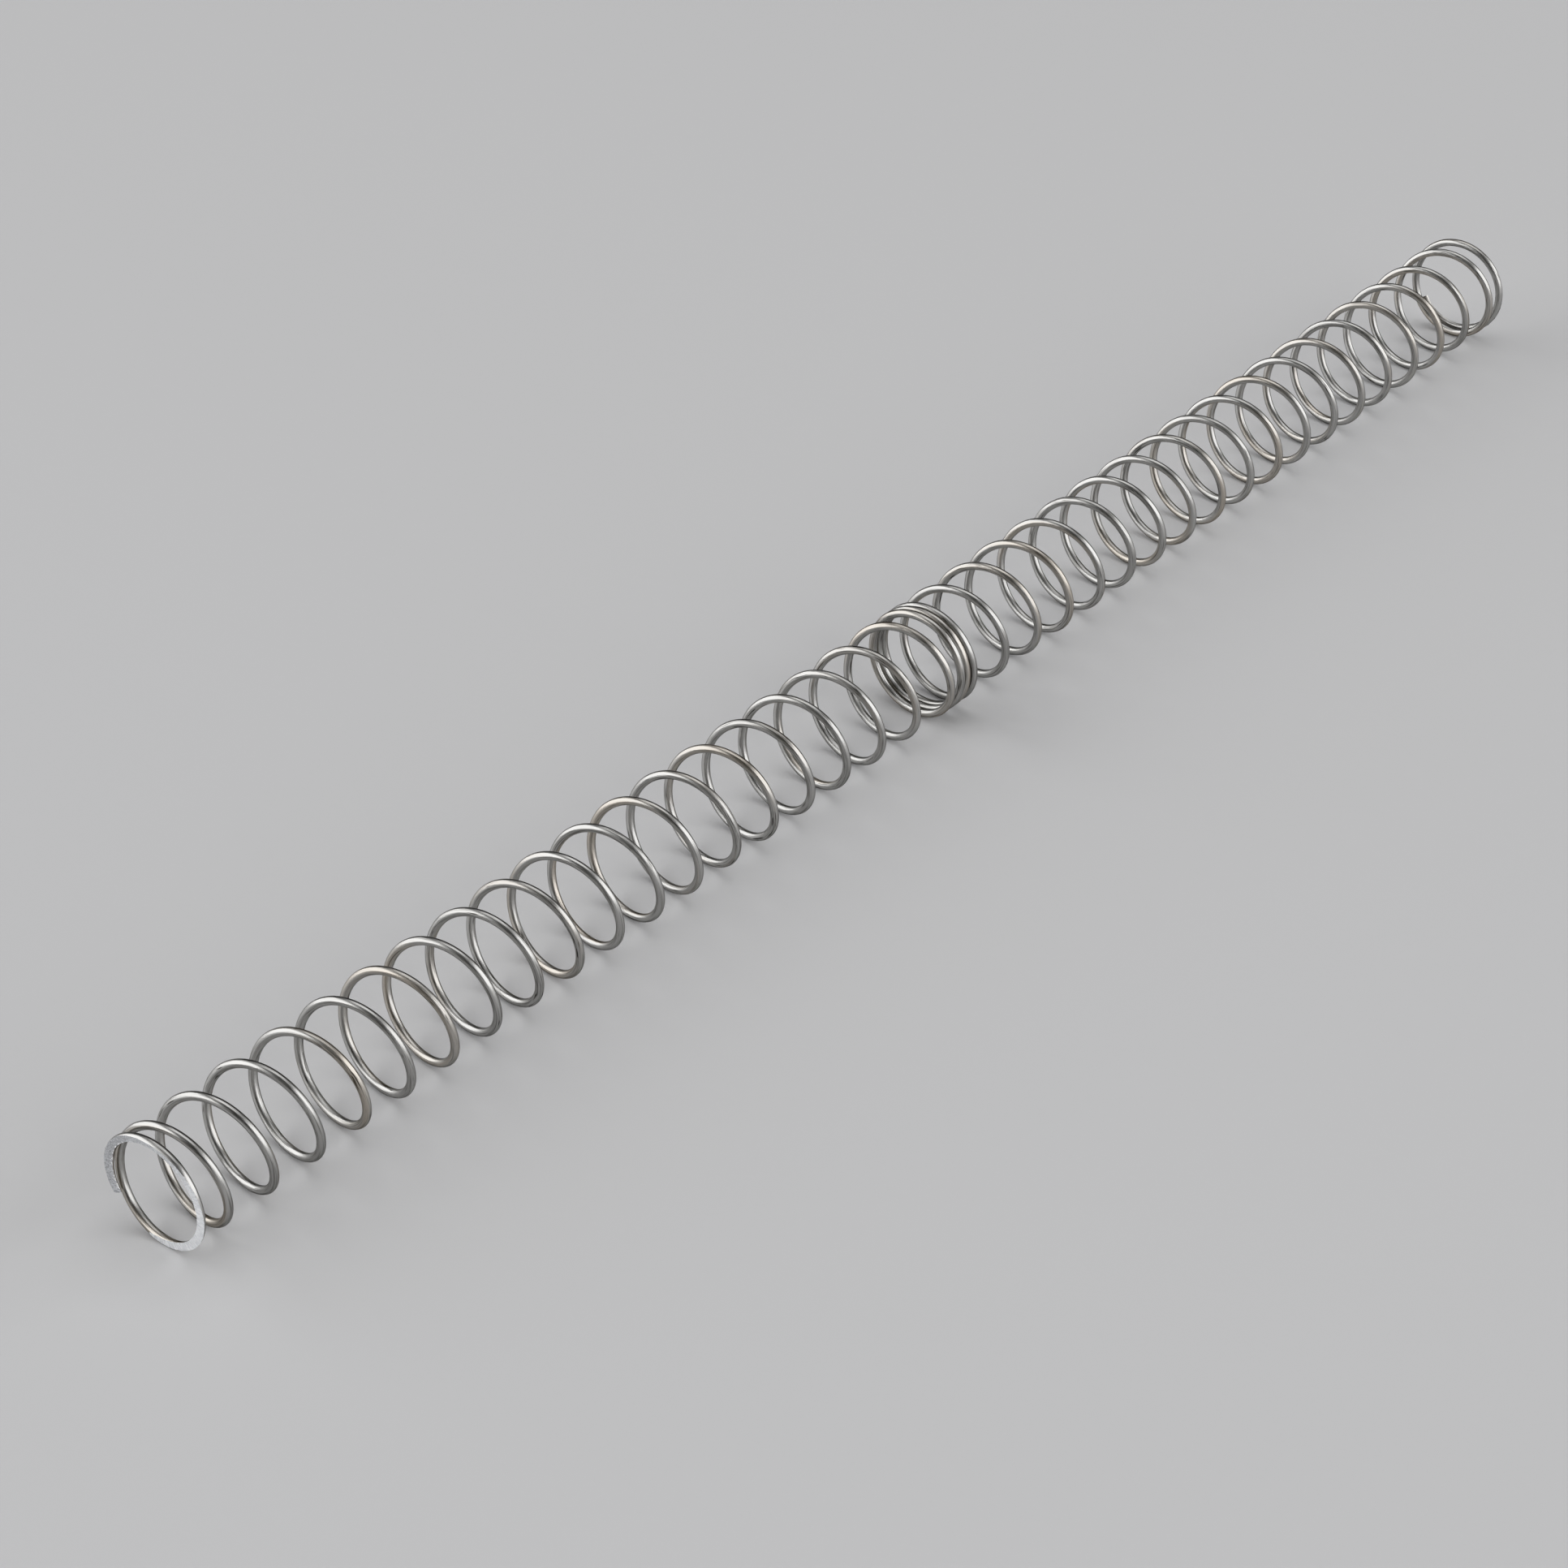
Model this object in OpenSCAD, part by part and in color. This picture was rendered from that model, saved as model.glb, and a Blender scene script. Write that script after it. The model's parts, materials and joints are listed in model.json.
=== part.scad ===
// Long helical compression spring, round steel wire, right-hand wound, lying on its side.
//
// The spring is one wire. It has closed ends ground flat, two long open sections
// and a band of closed coils between them, which keeps a spring this slender from
// buckling and from tangling with others. Each full turn of the wire is a node of
// its own, cut in one half-plane through the axis, so that the turns can slide
// along the axis until they close up, as the real turns do.
//
// +X runs along the axis from the near end to the far end, +Z is up, and Z = 0 is
// the surface that the spring lies on.

/* [Wire] */
// Diameter of the wire
wire_d = 1; // [0.8:0.05:1]
// Mean diameter of the coils, from wire centre to wire centre
coil_d = 13; // [9:0.25:18]

/* [Turns] */
// Whole turns from tip to tip
total_turns = 42; // [36:1:56]
// Turns from the near tip to where the coils open up
near_closed_turns = 1.07; // [0.6:0.01:1.2]
// Turns from the near tip to the closed band
band_start = 19.77; // [12.3:0.01:23.7]
// Closed turns in the band
band_turns = 2.8; // [1.8:0.1:8]
// Turns from where the coils close again to the far tip
far_closed_turns = 1.13; // [0.6:0.01:1.2]

/* [Pitch] */
// Rise per turn of the open coils
open_pitch = 6.75; // [6.75:0.05:9]
// Rise per turn of the closed band, just over the wire diameter
band_pitch = 1.04; // [1.04:0.01:1.5]
// Rise per turn of the wire at the two tips, before it leaves the ground face
end_pitch = 0.4; // [0.4:0.05:1]
// Turns over which the ends change between the two pitches
end_blend = 2; // [2:0.05:2.4]
// Turns over which the band changes between the two pitches
band_blend = 0.5; // [0.2:0.05:1]

/* [Ground ends] */
// Depth of wire that is ground away at each tip
grind_depth = 0.45; // [0.1:0.05:0.6]

/* [Finish] */
// Colour of the drawn wire
wire_colour = "#a9a8a4"; // ["#a9a8a4", "#8f8c86", "#b9b9bb"]
// Colour of the two ground turns
ground_colour = "#b4b6ba"; // ["#b4b6ba", "#a9a8a4"]

/* [Hidden] */
rings_per_turn = 28;
wire_sides = 8;
ring_step = 360 / rings_per_turn;

// The tips stand below the level of the axis, two and a half steps past the side of the
// coil, so that every coil rests on a flat facet.
tip_angle = -90 - 2.5 * ring_step;

coil_r = coil_d / 2;
wire_r = wire_d / 2;
// The section is drawn in half-planes through the axis, where a wire that climbs at
// the lead angle is a little longer along the axis than it is thick.
lead_angle = atan(open_pitch / (PI * coil_d));
section_axial_r = wire_r / cos(lead_angle);
// The flats of the section's polygon, and those round the coil, touch the true rounds.
section_factor = 1 / cos(180 / wire_sides);
coil_factor = 1 / cos(ring_step / 2);

axis_z = coil_r + wire_r;
near_face = wire_climb(0) - wire_r + grind_depth;
far_face = wire_climb(total_turns) + wire_r - grind_depth;
middle_x = (near_face + far_face) / 2;

// Which turns belong to which part of the spring, counted from the near tip.
first_band_turn = floor(band_start);
last_band_turn = floor(band_start + band_turns);
last_turn = total_turns - 1;

// Two digits, so that the names sort along the spring.
function two_digits(number) = number < 10 ? str("0", number) : str(number);

function turn_name(turn) =
    turn == 0 ? "near_end_coil"
    : turn < first_band_turn ? str("near_coil_", two_digits(turn))
    : turn <= last_band_turn ? str("band_coil_", turn - first_band_turn + 1)
    : turn < last_turn ? str("far_coil_", two_digits(turn - last_band_turn))
    : "far_end_coil";

// Area under a smooth step that rises from 0 to 1 across blend turns centred on
// middle, from far before the step up to turn t.
function step_area(t, middle, blend) =
    let (u = (t - middle) / blend + 0.5)
    blend * (u < 0 ? 0 : u > 1 ? u - 0.5 : u ^ 3 - u ^ 4 / 2);

// How far the wire's centre has climbed along the axis after t turns.
function wire_climb(t) =
    end_pitch * t
    + (open_pitch - end_pitch) * step_area(t, near_closed_turns, end_blend)
    - (open_pitch - band_pitch) * step_area(t, band_start, band_blend)
    + (open_pitch - band_pitch) * step_area(t, band_start + band_turns, band_blend)
    - (open_pitch - end_pitch) * step_area(t, total_turns - far_closed_turns, end_blend);

// One corner of the wire's section after t turns, cut back to the ground faces.
function section_point(t, side) =
    let (
        corner = (side + 0.5) * 360 / wire_sides,
        reach = (coil_r + wire_r * section_factor * sin(corner)) * coil_factor,
        climb = wire_climb(t) + section_axial_r * section_factor * cos(corner),
        angle = tip_angle + 360 * t
    )
    [
        min(max(climb, near_face), far_face) - middle_x,
        -reach * sin(angle),
        axis_z + reach * cos(angle)
    ];

// Index of a corner in the list of points of one turn.
function corner_index(ring, side) = ring * wire_sides + side % wire_sides;

// One full turn of the wire, from turn to turn + 1.
module wire_turn(turn) {
    points = [
        for (ring = [0 : rings_per_turn], side = [0 : wire_sides - 1])
            section_point(turn + ring / rings_per_turn, side)
    ];
    walls = [
        for (ring = [0 : rings_per_turn - 1], side = [0 : wire_sides - 1], half = [0, 1])
            half == 0
                ? [corner_index(ring, side), corner_index(ring, side + 1),
                   corner_index(ring + 1, side + 1)]
                : [corner_index(ring, side), corner_index(ring + 1, side + 1),
                   corner_index(ring + 1, side)]
    ];
    start_cap = [[for (side = [wire_sides - 1 : -1 : 0]) corner_index(0, side)]];
    end_cap = [[for (side = [0 : wire_sides - 1]) corner_index(rings_per_turn, side)]];
    polyhedron(points, concat(walls, start_cap, end_cap), convexity = 6);
}

// A turn that keeps the round section of the drawn wire, in an open section or in the band.
module drawn_coil(turn) {
    color(wire_colour) wire_turn(turn);
}

// A turn at either tip, ground flat across the end of the spring.
module ground_coil(turn) {
    color(ground_colour) wire_turn(turn);
}

for (turn = [0 : last_turn]) {
    union() {
        if (turn == 0 || turn == last_turn) ground_coil(turn);
        else drawn_coil(turn);
    }
}
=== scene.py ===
"""Looks of a long helical compression spring: drawn steel wire, ground ends, soft studio light.

Each turn of the wire is one piece. The open turns bend between the bodies at the two ends of
their section, so that the wire stays whole and round at every length of the spring.
Lengths are in millimetres until a mesh, lamp or camera is made. t counts turns from the near tip.
"""

import json
import math

import bmesh
import bpy
import numpy as np
from mathutils import Matrix, Vector


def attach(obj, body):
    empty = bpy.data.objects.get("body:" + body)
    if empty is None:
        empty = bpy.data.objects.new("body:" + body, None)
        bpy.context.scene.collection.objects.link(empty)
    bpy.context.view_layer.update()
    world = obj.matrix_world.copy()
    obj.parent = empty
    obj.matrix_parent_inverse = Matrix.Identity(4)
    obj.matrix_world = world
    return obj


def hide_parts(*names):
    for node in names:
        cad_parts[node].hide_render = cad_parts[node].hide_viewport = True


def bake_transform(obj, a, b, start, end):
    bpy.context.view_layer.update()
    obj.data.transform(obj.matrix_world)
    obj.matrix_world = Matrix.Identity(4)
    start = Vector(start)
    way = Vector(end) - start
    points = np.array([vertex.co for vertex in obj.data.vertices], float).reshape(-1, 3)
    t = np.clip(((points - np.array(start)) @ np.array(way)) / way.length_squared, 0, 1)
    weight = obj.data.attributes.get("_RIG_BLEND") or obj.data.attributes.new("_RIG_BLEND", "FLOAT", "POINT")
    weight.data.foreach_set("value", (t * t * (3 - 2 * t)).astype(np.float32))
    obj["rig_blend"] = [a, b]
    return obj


MM = 0.001

# The spring's driving dimensions, the same as in its CAD source.
WIRE_D = 1.0
COIL_D = 13.0
TOTAL_TURNS = 42
NEAR_CLOSED_TURNS = 1.07
BAND_START = 19.77
BAND_TURNS = 2.8
FAR_CLOSED_TURNS = 1.13
OPEN_PITCH = 6.75
BAND_PITCH = 1.04
END_PITCH = 0.4
END_BLEND = 2.0
BAND_BLEND = 0.5
GRIND_DEPTH = 0.45
TIP_ANGLE = math.radians(-90 - 2.5 * 360 / 28)

COIL_R = COIL_D / 2
WIRE_R = WIRE_D / 2
AXIS_Z = COIL_R + WIRE_R
WIRE_PER_TURN = math.hypot(math.pi * COIL_D, OPEN_PITCH)

# How finely the wire is meshed: rings along it, sides round it.
RINGS_PER_TURN = 96
RINGS_PER_END_TURN = 220
RINGS_PER_TIP = 6
SIDES = 28

# How far the wire strays from a true helix: inwards, and along the axis where the coils are open.
RADIUS_WANDER = 0.07
SLOW_SLIP = 0.05
QUICK_SLIP = 0.03
# The set of the near end turn, as shifts along the axis and out from it. Each one is a distance,
# the first and last t that it holds between, and the turns over which it comes and goes.
SETS_ALONG = ((0.10, 0.32, 0.48, 0.14), (-0.14, 0.54, 1.08, 0.26))
SETS_OUT = ((-0.07, -0.20, 0.26, 0.20), (0.05, 0.46, 0.96, 0.20))

# The near tip is cut short by this many turns, and both are rounded over at this radius.
NEAR_TRIM = 0.016
TIP_ROUND = 0.05

# The cutter pushed the inner side of the two tips in towards the axis, which dies away over
# this length. It also rolled the near tip's inner edge in, as a lip that fades over LIP_FADE with
# its middle at LIP_LENGTH. The flares and the lip are shares of the wire's diameter.
TIP_FLARES = (0.26, 0.12)
FLARE_LENGTH = 1.5
NEAR_LIP = 0.2
LIP_LENGTH = 6.0
LIP_FADE = 3.0

# The ground faces are a little out of square. Each slope is how much deeper the face is cut for
# each millimetre to the right, and for each millimetre down, as seen from the near end.
NEAR_FACE_PROUD = 0.14
NEAR_FACE_SLOPES = (0.02, 0.05)
FAR_FACE_SLOPES = (0.0, 0.012)
BURR = 0.05
# Corners this close to the cutter's plane are on it, in metres.
ON_PLANE = 1e-8

# The camera stands where the photographer stood. Its angles are in degrees.
CAMERA_AZIMUTH = -50.6
CAMERA_ELEVATION = 33.3
CAMERA_ROLL = -1.34
CAMERA_DISTANCE = 478.7
CAMERA_AIM = (-25.3, 0.0, 2.9)
CAMERA_LENS = 93.9
SENSOR = 36.0
NEAREST_SEEN = 10
FARTHEST_SEEN = 50000

# The floor ends just short of the soft boxes.
FLOOR_RADIUS = 3400
FLOOR_SIDES = 96
LAMP_DISTANCE = 3600
# Each soft box's name, azimuth, elevation, width and height, and radiance.
LAMPS = (
    ("left_box", -144, 23, (5400, 2900), 3.2),
    ("right_box", 16, 23, (6400, 2900), 2.8),
    ("top_box", 110, 78, (3200, 3200), 1.7),
)

# The shares of a slide are worked out at this many points, and the pitch that the turns close
# to is found by this many halvings.
SHARE_POINTS = 4001
HALVINGS = 40

rng = np.random.default_rng(7)


# ---------------------------------------------------------------- the wire's path

def smooth_step(t, middle, blend):
    """0 to 1 across blend turns centred on middle."""
    u = np.clip((t - middle) / blend + 0.5, 0, 1)
    return u * u * (3 - 2 * u)


def step_area(t, middle, blend):
    """Area under smooth_step up to turn t."""
    u = (t - middle) / blend + 0.5
    inside = np.clip(u, 0, 1)
    return blend * np.where(u > 1, u - 0.5, inside**3 - inside**4 / 2)


def along_pitches(t, rise):
    """Adds up the pitches of the closed and open stretches, each switched on by rise."""
    return (
        (OPEN_PITCH - END_PITCH) * rise(t, NEAR_CLOSED_TURNS, END_BLEND)
        - (OPEN_PITCH - BAND_PITCH) * rise(t, BAND_START, BAND_BLEND)
        + (OPEN_PITCH - BAND_PITCH) * rise(t, BAND_START + BAND_TURNS, BAND_BLEND)
        - (OPEN_PITCH - END_PITCH) * rise(t, TOTAL_TURNS - FAR_CLOSED_TURNS, END_BLEND)
    )


def wire_climb(t):
    """How far the wire has climbed along the axis after t turns."""
    return END_PITCH * t + along_pitches(t, step_area)


def pitch_at(t):
    """Rise per turn at t."""
    return END_PITCH + along_pitches(t, smooth_step)


NEAR_FACE = wire_climb(0.0) - WIRE_R + GRIND_DEPTH
FAR_FACE = wire_climb(float(TOTAL_TURNS)) + WIRE_R - GRIND_DEPTH
MIDDLE_X = (NEAR_FACE + FAR_FACE) / 2
HALF_LENGTH = (FAR_FACE - NEAR_FACE) / 2


def set_of(t, sets):
    """Adds up the sets of the near end turn at t. Each holds from its first turn to its last."""
    total = 0 * t
    for shift, first, last, blend in sets:
        total += shift * (smooth_step(t, first, blend) - smooth_step(t, last, blend))
    return total


def coil_radius(t):
    """The coil's radius, never over the true one, with the slow wander of a wound spring."""
    wander = 0.5 + 0.3 * np.sin(0.91 * t + 0.4) + 0.2 * np.sin(2.37 * t + 1.9)
    return np.minimum(COIL_R - RADIUS_WANDER * wander + set_of(t, SETS_OUT), COIL_R)


def stray(t):
    """How far the wire is off its even climb: slips of the pitch, and the set of the end turn."""
    openness = np.clip((pitch_at(t) - BAND_PITCH) / (OPEN_PITCH - BAND_PITCH), 0, 1)
    slips = openness * (SLOW_SLIP * np.sin(0.83 * t + 2.1) + QUICK_SLIP * np.sin(1.71 * t))
    return slips + set_of(t, SETS_ALONG)


def centre(t):
    """Middle of the wire after t turns."""
    angle = TIP_ANGLE + 2 * np.pi * t
    r = coil_radius(t)
    x = wire_climb(t) + stray(t) - MIDDLE_X
    return np.stack([x, -r * np.sin(angle), AXIS_Z + r * np.cos(angle)], -1)


def section_axes(t):
    """The wire's direction, the way out from the axis, and the way across, at each t."""
    step = 1e-4
    ahead = centre(t + step) - centre(t - step)
    ahead /= np.linalg.norm(ahead, axis=1, keepdims=True)
    angle = TIP_ANGLE + 2 * np.pi * t
    out = np.stack([0 * t, -np.sin(angle), np.cos(angle)], -1)
    out -= np.sum(out * ahead, 1)[:, None] * ahead
    out /= np.linalg.norm(out, axis=1, keepdims=True)
    return ahead, out, np.cross(ahead, out)


def slide_share(t, first, last, travel):
    """How much of a section's slide each point of its wire takes, when the turns close evenly."""
    grid = np.linspace(first, last, SHARE_POINTS)
    pitch = pitch_at(grid)
    spacing = grid[1] - grid[0]
    low, high = 0.0, OPEN_PITCH
    for _ in range(HALVINGS):
        closed = (low + high) / 2
        if np.maximum(pitch - closed, 0).sum() * spacing > travel:
            low = closed
        else:
            high = closed
    share = np.cumsum(np.maximum(pitch - closed, 0))
    share = (share - share[0]) / (share[-1] - share[0])
    return np.interp(t, grid, share)


# ---------------------------------------------------------------- meshes

def stations(turn):
    """Where the rings of one turn are, as t and wire radius. The two cut tips are rounded over."""
    bend = np.linspace(0, math.pi / 2, RINGS_PER_TIP)
    tip_t = TIP_ROUND * (1 - np.sin(bend)) / WIRE_PER_TURN
    tip_radius = WIRE_R - TIP_ROUND * (1 - np.cos(bend))
    first, last = turn, turn + 1
    if turn == 0:
        first = NEAR_TRIM + tip_t[0]
    if turn == TOTAL_TURNS - 1:
        last = TOTAL_TURNS - tip_t[0]
    rings = RINGS_PER_END_TURN if turn in (0, TOTAL_TURNS - 1) else RINGS_PER_TURN
    t = np.linspace(first, last, rings + 1)
    radius = np.full(t.shape, WIRE_R)
    if turn == 0:
        t = np.concatenate([NEAR_TRIM + tip_t[:0:-1], t])
        radius = np.concatenate([tip_radius[:0:-1], radius])
    if turn == TOTAL_TURNS - 1:
        t = np.concatenate([t, TOTAL_TURNS - tip_t[1:]])
        radius = np.concatenate([radius, tip_radius[1:]])
    return t, radius


def tube(turn):
    """One turn's points, faces and, for each point, its normal, unwound place and t."""
    t, radius = stations(turn)
    ahead, out, across = section_axes(t)
    to_tips = ((t - NEAR_TRIM) * WIRE_PER_TURN, (TOTAL_TURNS - t) * WIRE_PER_TURN)
    flare = NEAR_LIP * (1 - smooth_step(to_tips[0], LIP_LENGTH, LIP_FADE))
    for most, to_tip in zip(TIP_FLARES, to_tips):
        flare += most * np.exp(-to_tip / FLARE_LENGTH)
    phi = np.linspace(0, 2 * np.pi, SIDES, endpoint=False)
    cos, sin = np.cos(phi)[None, :, None], np.sin(phi)[None, :, None]
    out, across, reach = out[:, None], across[:, None], radius[:, None, None]
    wide = 1 + flare[:, None, None] * (1 - cos)
    points = centre(t)[:, None] + (out * cos * wide + across * sin) * reach
    normal = out * cos / wide + across * sin
    length = np.broadcast_to((t * WIRE_PER_TURN)[:, None, None], (len(t), SIDES, 1))
    unwound = np.concatenate([length, reach * cos, reach * sin], -1)
    faces = []
    for ring in range(len(t) - 1):
        for side in range(SIDES):
            after = (side + 1) % SIDES
            low, high = ring * SIDES, (ring + 1) * SIDES
            faces.append((low + side, low + after, high + after, high + side))
    last = (len(t) - 1) * SIDES
    faces.append(tuple(range(SIDES - 1, -1, -1)))
    faces.append(tuple(last + side for side in range(SIDES)))
    return (
        points.reshape(-1, 3),
        faces,
        normal.reshape(-1, 3),
        unwound.reshape(-1, 3),
        np.repeat(t, SIDES),
    )


def set_attribute(mesh, name, kind, values):
    attribute = mesh.attributes.get(name) or mesh.attributes.new(name, kind, "POINT")
    field = "vector" if kind == "FLOAT_VECTOR" else "value"
    attribute.data.foreach_set(field, np.asarray(values, np.float32).ravel())


def get_attribute(mesh, name, width):
    values = np.zeros(len(mesh.vertices) * width, np.float32)
    field = "vector" if width == 3 else "value"
    mesh.attributes[name].data.foreach_get(field, values)
    return values.reshape(-1, width) if width > 1 else values


def grind(mesh, face_x, facing, slopes):
    """Cuts a mesh at a plane, closes the cut with the second material, and leaves a burr on it.

    The plane crosses the middle of the topmost wire at face_x. facing is -1 at the near end.
    """
    bm = bmesh.new()
    bm.from_mesh(mesh)
    everything = bm.verts[:] + bm.edges[:] + bm.faces[:]
    bmesh.ops.bisect_plane(
        bm,
        geom=everything,
        dist=ON_PLANE,
        plane_co=Vector((face_x, 0, AXIS_Z + COIL_R)) * MM,
        plane_no=Vector((facing, -slopes[0], -slopes[1])),
        clear_outer=True,
    )
    rim = [edge for edge in bm.edges if edge.is_boundary]
    on_rim = {vert for edge in rim for vert in edge.verts}
    for vert in sorted(on_rim, key=lambda vert: tuple(vert.co)):
        y, z = vert.co.y, vert.co.z - AXIS_Z * MM
        radius = math.hypot(y, z)
        outward = 1 if radius > COIL_R * MM else -1
        push = outward * BURR * MM * rng.random() ** 3
        step_y, step_z = y / radius * push, z / radius * push
        vert.co += Vector((facing * (slopes[0] * step_y + slopes[1] * step_z), step_y, step_z))
    made = bmesh.ops.holes_fill(bm, edges=rim, sides=0)["faces"]
    for face in made:
        face.material_index = 1
    bmesh.ops.triangulate(bm, faces=made)
    bm.to_mesh(mesh)
    bm.free()


def shade(mesh):
    """True round normals on the wire's side, and flat ones on its cuts and ground faces."""
    normals = get_attribute(mesh, "round_normal", 3)
    normals /= np.linalg.norm(normals, axis=1, keepdims=True)
    loop_normals = np.zeros((len(mesh.loops), 3))
    for face in mesh.polygons:
        flat = face.material_index == 1 or len(face.vertices) > 4
        for loop in face.loop_indices:
            vertex = mesh.loops[loop].vertex_index
            loop_normals[loop] = face.normal if flat else normals[vertex]
    mesh.polygons.foreach_set("use_smooth", [True] * len(mesh.polygons))
    mesh.normals_split_custom_set(loop_normals.tolist())
    mesh.attributes.remove(mesh.attributes["round_normal"])


def make_turn(turn, node):
    """Builds one turn of the wire as a closed piece that stands for its CAD node."""
    points, faces, normals, unwound, t = tube(turn)
    mesh = bpy.data.meshes.new(node + "_wire")
    mesh.from_pydata((points * MM).tolist(), [], faces)
    set_attribute(mesh, "round_normal", "FLOAT_VECTOR", normals)
    set_attribute(mesh, "unwound", "FLOAT_VECTOR", unwound)
    set_attribute(mesh, "turn_at", "FLOAT", t)
    mesh.materials.append(bpy.data.materials["spring_wire"])
    if turn == 0:
        mesh.materials.append(bpy.data.materials["ground_face"])
        grind(mesh, -HALF_LENGTH - NEAR_FACE_PROUD, -1, NEAR_FACE_SLOPES)
    if turn == TOTAL_TURNS - 1:
        mesh.materials.append(bpy.data.materials["ground_face"])
        grind(mesh, HALF_LENGTH, 1, FAR_FACE_SLOPES)
    shade(mesh)
    piece = bpy.data.objects.new(node + "_wire", mesh)
    bpy.context.scene.collection.objects.link(piece)
    return piece


def bend_between(piece, near_body, far_body, first, last, travel):
    """Shares the slide between two bodies along the wire itself, so that its section stays round.

    The turns from first to last close up by travel.
    """
    start = centre(np.array([float(first)]))[0] * MM
    end = centre(np.array([float(last)]))[0] * MM
    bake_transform(piece, near_body, far_body, start=(start[0], 0, 0), end=(end[0], 0, 0))
    t = get_attribute(piece.data, "turn_at", 1)
    set_attribute(piece.data, "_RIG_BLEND", "FLOAT", slide_share(t, first, last, travel))


# ---------------------------------------------------------------- materials

def node_at(tree, kind, **inputs):
    node = tree.nodes.new(kind)
    for name, value in inputs.items():
        node.inputs[name.replace("_", " ")].default_value = value
    return node


def stretched(tree, vector, scale):
    """A vector times scale, for texture that is longer one way than another."""
    node = tree.nodes.new("ShaderNodeVectorMath")
    node.operation = "MULTIPLY"
    tree.links.new(vector, node.inputs[0])
    node.inputs[1].default_value = scale
    return node.outputs[0]


def noise(tree, vector, scale, detail=3.0, roughness=0.55):
    node = node_at(tree, "ShaderNodeTexNoise", Scale=1.0, Detail=detail, Roughness=roughness)
    tree.links.new(stretched(tree, vector, scale), node.inputs["Vector"])
    return node.outputs["Fac"]


def spread(tree, value, low, high, to_low=0.0, to_high=1.0):
    """Maps low..high to to_low..to_high, and holds the ends."""
    node = tree.nodes.new("ShaderNodeMapRange")
    node.inputs["From Min"].default_value = low
    node.inputs["From Max"].default_value = high
    node.inputs["To Min"].default_value = to_low
    node.inputs["To Max"].default_value = to_high
    tree.links.new(value, node.inputs["Value"])
    return node.outputs["Result"]


def combine(tree, operation, a, b):
    node = tree.nodes.new("ShaderNodeMath")
    node.operation = operation
    for slot, value in zip(node.inputs, (a, b)):
        if isinstance(value, (int, float)):
            slot.default_value = value
        else:
            tree.links.new(value, slot)
    return node.outputs[0]


def blended(tree, share, a, b):
    """Colour a where share is 0, and b where it is 1."""
    node = tree.nodes.new("ShaderNodeMix")
    node.data_type = "RGBA"
    colours = [s for s in node.inputs if s.type == "RGBA"]
    tree.links.new(share, node.inputs["Factor"])
    for slot, value in zip(colours, (a, b)):
        if isinstance(value, tuple):
            slot.default_value = (*value, 1)
        else:
            tree.links.new(value, slot)
    return [s for s in node.outputs if s.type == "RGBA"][0]


def bumped(tree, height, strength, depth, under=None):
    node = node_at(tree, "ShaderNodeBump", Strength=strength, Distance=depth)
    tree.links.new(height, node.inputs["Height"])
    if under is not None:
        tree.links.new(under, node.inputs["Normal"])
    return node.outputs["Normal"]


def new_material(name):
    material = bpy.data.materials.new(name)
    material.use_nodes = True
    tree = material.node_tree
    shader = tree.nodes["Principled BSDF"]
    shader.inputs["Metallic"].default_value = 1.0
    place = tree.nodes.new("ShaderNodeAttribute")
    place.attribute_name = "unwound"
    return tree, shader, place.outputs["Vector"]


def drawn_wire():
    """Bright drawn spring wire: draw lines along it, patches of seams, straw tints and nicks."""
    tree, shader, place = new_material("spring_wire")
    lines = noise(tree, place, (0.22, 7.0, 7.0), detail=1.5, roughness=0.6)
    fine_lines = noise(tree, place, (0.5, 15.0, 15.0), detail=0.0)
    seams = noise(tree, place, (0.35, 4.5, 4.5), detail=1.5, roughness=0.6)
    worn = noise(tree, place, (0.10, 1.1, 1.1), detail=2.0)
    warm = noise(tree, place, (0.045, 0.8, 0.8), detail=2.0, roughness=0.4)
    tone = noise(tree, place, (0.13, 1.6, 1.6), detail=3.0)
    grain = noise(tree, place, (1.4, 8.0, 8.0), detail=1.0)

    seamed = combine(tree, "MULTIPLY", spread(tree, seams, 0.58, 0.66), spread(tree, worn, 0.50, 0.60))
    bare = blended(tree, spread(tree, tone, 0.3, 0.7), (0.42, 0.416, 0.405), (0.52, 0.516, 0.503))
    tinted = blended(tree, spread(tree, warm, 0.52, 0.68, 0.0, 0.5), bare, (0.54, 0.475, 0.395))
    lined = blended(tree, spread(tree, lines, 0.52, 0.70, 0.0, 0.7), tinted, (0.16, 0.156, 0.148))
    marked = blended(tree, combine(tree, "MULTIPLY", seamed, 0.75), lined, (0.05, 0.047, 0.044))
    tree.links.new(marked, shader.inputs["Base Color"])
    shader.inputs["Specular Tint"].default_value = (0.4, 0.4, 0.4, 1)

    rough = spread(tree, grain, 0.3, 0.7, 0.30, 0.37)
    rough = combine(tree, "ADD", rough, spread(tree, lines, 0.48, 0.66, 0.0, 0.07))
    rough = combine(tree, "ADD", rough, spread(tree, worn, 0.45, 0.65, 0.0, 0.06))
    tree.links.new(rough, shader.inputs["Roughness"])

    height = combine(tree, "MULTIPLY", fine_lines, 0.5)
    height = combine(tree, "SUBTRACT", height, lines)
    height = combine(tree, "SUBTRACT", height, seamed)
    tree.links.new(bumped(tree, height, 0.6, 0.016 * MM), shader.inputs["Normal"])


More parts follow.
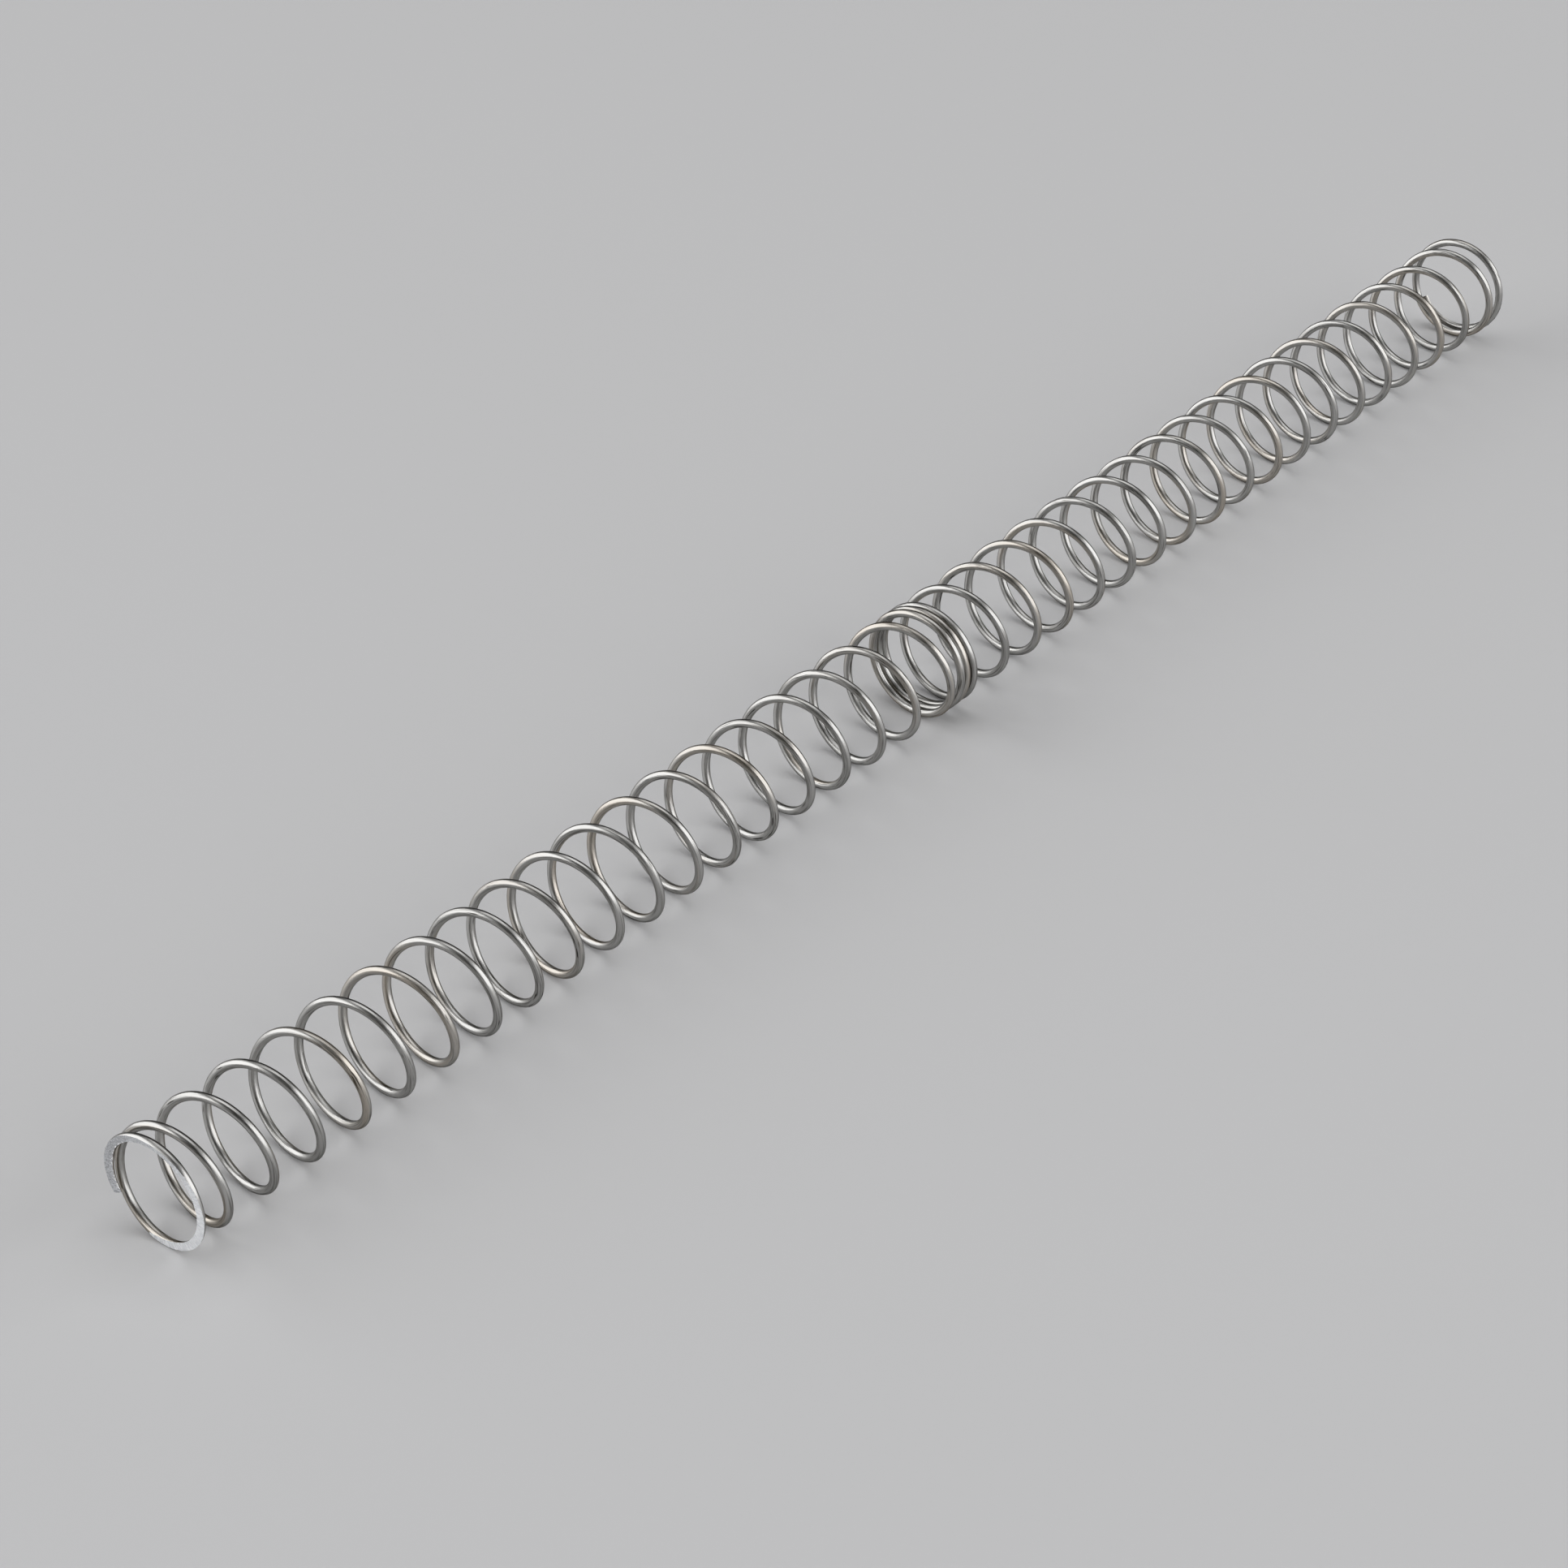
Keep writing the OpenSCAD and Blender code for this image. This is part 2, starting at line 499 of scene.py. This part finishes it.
def ground_face():
    """Bare steel off a grinding wheel: scratches across the wire, mottled and coarser near the tip. Away
    from the tip the face is painted brighter as a painted highlight, and the burrs of the inner rim near the
    tip carry painted glints.
    """
    tree, shader, place = new_material("ground_face")
    scratches = noise(tree, place, (6.0, 1.2, 1.2), detail=4.0, roughness=0.7)
    mottle = noise(tree, place, (5.0, 5.0, 5.0), detail=4.0, roughness=0.75)
    glint_specks = noise(tree, place, (2.2, 1.0, 1.0), detail=3.0, roughness=0.7)
    parts = tree.nodes.new("ShaderNodeSeparateXYZ")
    tree.links.new(place, parts.inputs[0])
    # Painted highlight: between 8 and 24 mm along the wire, the face changes from its near-tip colour to a
    # brighter colour that stands in for the light its scratches catch.
    painted_highlight_share = spread(tree, parts.outputs["X"], 8.0, 24.0)
    inner_rim = spread(tree, parts.outputs["Y"], -0.22, -0.42)

    bright = blended(tree, spread(tree, scratches, 0.36, 0.64), (0.74, 0.75, 0.77), (0.96, 0.97, 0.98))
    near_tip_colour = blended(tree, spread(tree, mottle, 0.38, 0.62), (0.36, 0.365, 0.38), (0.68, 0.69, 0.71))
    # Painted glints: white specks on the burrs along the inner rim, which also make the rim rougher.
    burr_glints = combine(tree, "MULTIPLY", inner_rim, spread(tree, glint_specks, 0.50, 0.58))
    near_tip_colour = blended(tree, burr_glints, near_tip_colour, (1.0, 1.0, 1.0))
    tree.links.new(blended(tree, painted_highlight_share, near_tip_colour, bright), shader.inputs["Base Color"])
    rough = spread(tree, mottle, 0.35, 0.65, 0.36, 0.50)
    rough = combine(tree, "ADD", rough, combine(tree, "MULTIPLY", painted_highlight_share, 0.16))
    rough = combine(tree, "ADD", rough, combine(tree, "MULTIPLY", burr_glints, 0.2))
    tree.links.new(rough, shader.inputs["Roughness"])
    height = combine(tree, "ADD", scratches, combine(tree, "MULTIPLY", mottle, 0.9))
    tree.links.new(bumped(tree, height, 1.0, 0.06 * MM), shader.inputs["Normal"])


# ---------------------------------------------------------------- stage, light and camera

def make_floor():
    """A wide round pale matte floor under the coils."""
    angles = np.linspace(0, 2 * np.pi, FLOOR_SIDES, endpoint=False)
    rim = np.stack([np.cos(angles), np.sin(angles), 0 * angles], -1) * FLOOR_RADIUS * MM
    mesh = bpy.data.meshes.new("floor")
    mesh.from_pydata(rim.tolist(), [], [tuple(range(len(rim)))])
    floor = bpy.data.objects.new("floor", mesh)
    bpy.context.scene.collection.objects.link(floor)
    material = bpy.data.materials.new("pale_floor")
    material.use_nodes = True
    shader = material.node_tree.nodes["Principled BSDF"]
    shader.inputs["Base Color"].default_value = (0.55, 0.55, 0.555, 1)
    shader.inputs["Roughness"].default_value = 0.6
    shader.inputs["Specular IOR Level"].default_value = 0.3
    mesh.materials.append(material)


def direction(azimuth, elevation):
    """The way out from the spring. Azimuth 0 is over -Y and 90 over +X, in degrees."""
    azimuth, elevation = math.radians(azimuth), math.radians(elevation)
    level = math.cos(elevation)
    return Vector((math.sin(azimuth) * level, -math.cos(azimuth) * level, math.sin(elevation)))


def make_lamp(name, azimuth, elevation, size, radiance):
    """A soft box that faces the spring."""
    toward = direction(azimuth, elevation)
    data = bpy.data.lights.new(name, "AREA")
    data.shape = "RECTANGLE"
    data.size, data.size_y = size[0] * MM, size[1] * MM
    data.energy = radiance * math.pi * data.size * data.size_y
    lamp = bpy.data.objects.new(name, data)
    lamp.location = toward * LAMP_DISTANCE * MM
    lamp.rotation_euler = (-toward).to_track_quat("-Z", "Y").to_euler()
    bpy.context.scene.collection.objects.link(lamp)


def make_light():
    """Soft boxes in a dim room, whose walls look as pale as the floor."""
    for lamp in LAMPS:
        make_lamp(*lamp)
    world = bpy.data.worlds.new("room")
    bpy.context.scene.world = world
    world.use_nodes = True
    tree = world.node_tree
    room = tree.nodes["Background"]
    ray = tree.nodes.new("ShaderNodeLightPath")
    seen = blended(tree, ray.outputs["Is Camera Ray"], (0.04, 0.04, 0.042), (0.62, 0.62, 0.625))
    tree.links.new(seen, room.inputs["Color"])


def make_camera():
    data = bpy.data.cameras.new("camera")
    data.lens = CAMERA_LENS
    data.sensor_width = SENSOR
    data.clip_start = NEAREST_SEEN * MM
    data.clip_end = FARTHEST_SEEN * MM
    camera = bpy.data.objects.new("camera", data)
    back = direction(CAMERA_AZIMUTH, CAMERA_ELEVATION)
    level_right = (-back).cross(Vector((0, 0, 1))).normalized()
    level_up = level_right.cross(-back)
    roll = math.radians(CAMERA_ROLL)
    right = level_right * math.cos(roll) + level_up * math.sin(roll)
    up = level_up * math.cos(roll) - level_right * math.sin(roll)
    turn = Matrix((right, up, back)).transposed().to_4x4()
    place = (Vector(CAMERA_AIM) + back * CAMERA_DISTANCE) * MM
    camera.matrix_world = Matrix.Translation(place) @ turn
    bpy.context.scene.collection.objects.link(camera)
    bpy.context.scene.camera = camera


# ---------------------------------------------------------------- the scene

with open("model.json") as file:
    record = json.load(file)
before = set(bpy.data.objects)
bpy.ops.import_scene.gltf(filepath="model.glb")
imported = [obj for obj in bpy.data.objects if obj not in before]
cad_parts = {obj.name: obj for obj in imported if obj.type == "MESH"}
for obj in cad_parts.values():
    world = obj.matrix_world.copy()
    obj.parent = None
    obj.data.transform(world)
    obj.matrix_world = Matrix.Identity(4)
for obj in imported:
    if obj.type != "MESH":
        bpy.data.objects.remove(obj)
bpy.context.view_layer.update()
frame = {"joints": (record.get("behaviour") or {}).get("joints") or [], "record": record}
bpy.context.scene.view_settings.view_transform = "Khronos PBR Neutral"
travel = {joint["name"]: -joint["range_m"][0] / MM for joint in frame["joints"]}
bodies = frame["record"]["behaviour"]["bodies"]
turn_nodes = [node for nodes in bodies.values() for node in nodes]
first_band = turn_nodes.index("band_coil_1")
last_band = turn_nodes.index("band_coil_4")

make_camera()
drawn_wire()
ground_face()
make_floor()
make_light()

for turn, node in enumerate(turn_nodes):
    piece = make_turn(turn, node)
    if turn == 0:
        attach(piece, "near_end")
    elif turn <= first_band:
        bend_between(piece, "near_end", "closed_band", 1, first_band + 1, travel["near_section"])
    elif turn < last_band:
        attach(piece, "closed_band")
    elif turn < len(turn_nodes) - 1:
        bend_between(
            piece, "closed_band", "far_end", last_band, len(turn_nodes) - 1, travel["far_section"]
        )
    else:
        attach(piece, "far_end")
    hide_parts(node)
